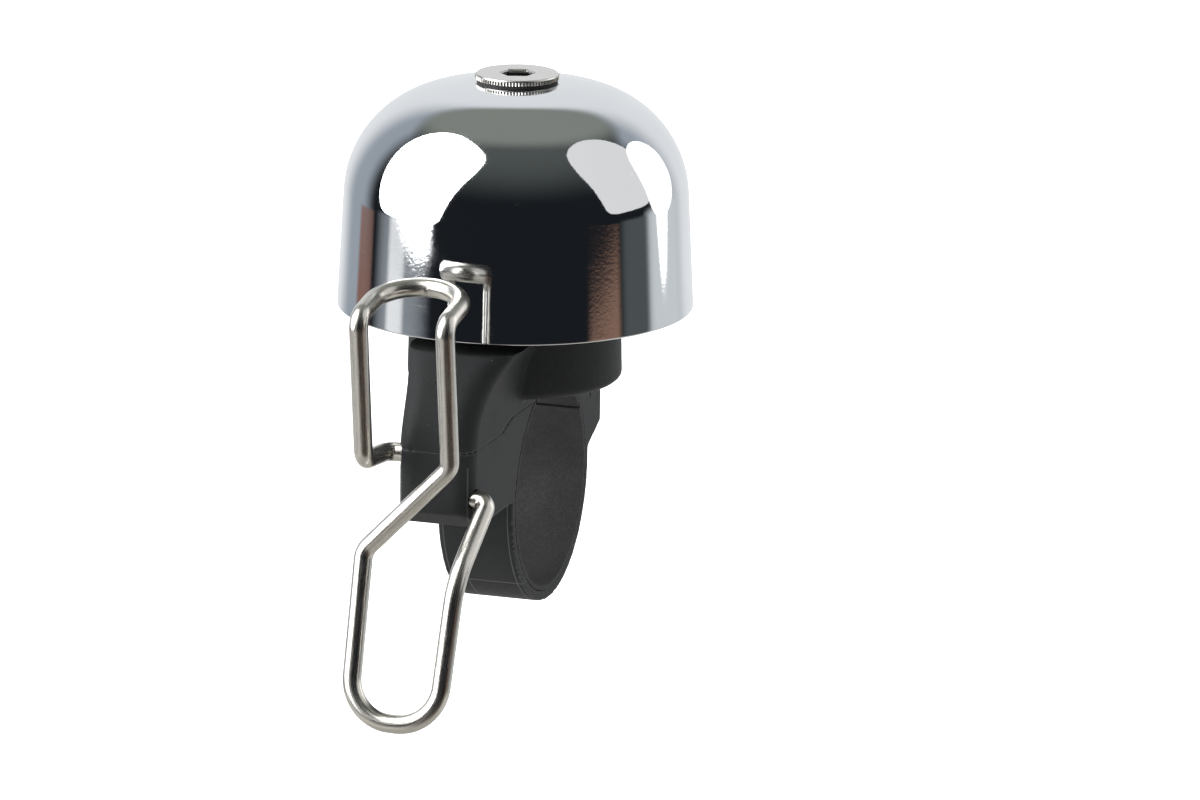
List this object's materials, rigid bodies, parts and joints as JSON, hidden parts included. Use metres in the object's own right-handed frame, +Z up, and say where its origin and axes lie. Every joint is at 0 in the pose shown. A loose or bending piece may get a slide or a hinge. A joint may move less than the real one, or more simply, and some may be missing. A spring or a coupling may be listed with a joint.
{
  "type": "bicycle bell",
  "caption": "Chromed bell dome on a black handlebar clamp, struck by a sprung wire lever with a finger loop.",
  "frame": {"origin": "on the handlebar's axis, under the centre of the dome", "axes": "+X along the handlebar, +Z up through the dome, wire lever hanging at the front towards -Y"},
  "size_m": [0.0381, 0.0548, 0.0635],
  "materials": {
    "body_plastic": "fine matt moulded black",
    "liner_rubber": "matt",
    "dome_chrome": "mirror",
    "wire_steel": "drawn and polished",
    "screw_steel": "satin",
    "zinc_steel": "zinc plated",
    "brass": "turned",
    "nylon": "natural"
  },
  "bodies": {
    "clamp": {"upper_body": "body_plastic", "lower_body": "body_plastic", "upper_liner": "liner_rubber", "lower_liner": "liner_rubber", "clamp_screw": "zinc_steel", "clamp_washer": "zinc_steel", "brass_insert": "brass", "post": "zinc_steel", "seat_washer": "zinc_steel", "isolating_bush": "nylon", "dome": "dome_chrome", "top_washer": "liner_rubber", "dome_screw": "screw_steel"},
    "lever": {"striker_wire": "wire_steel", "return_leg": "wire_steel"}
  },
  "joints": [
    {"name": "striker_swing", "type": "hinge", "parent": "clamp", "child": "lever", "pos_m": [-0.0042, -0.0243, 0.0086], "axis": [1, 0, 0], "range_deg": [-11, 16], "stiffness_Nm_per_rad": 0.06, "deforming": ["return_leg"]}
  ]
}
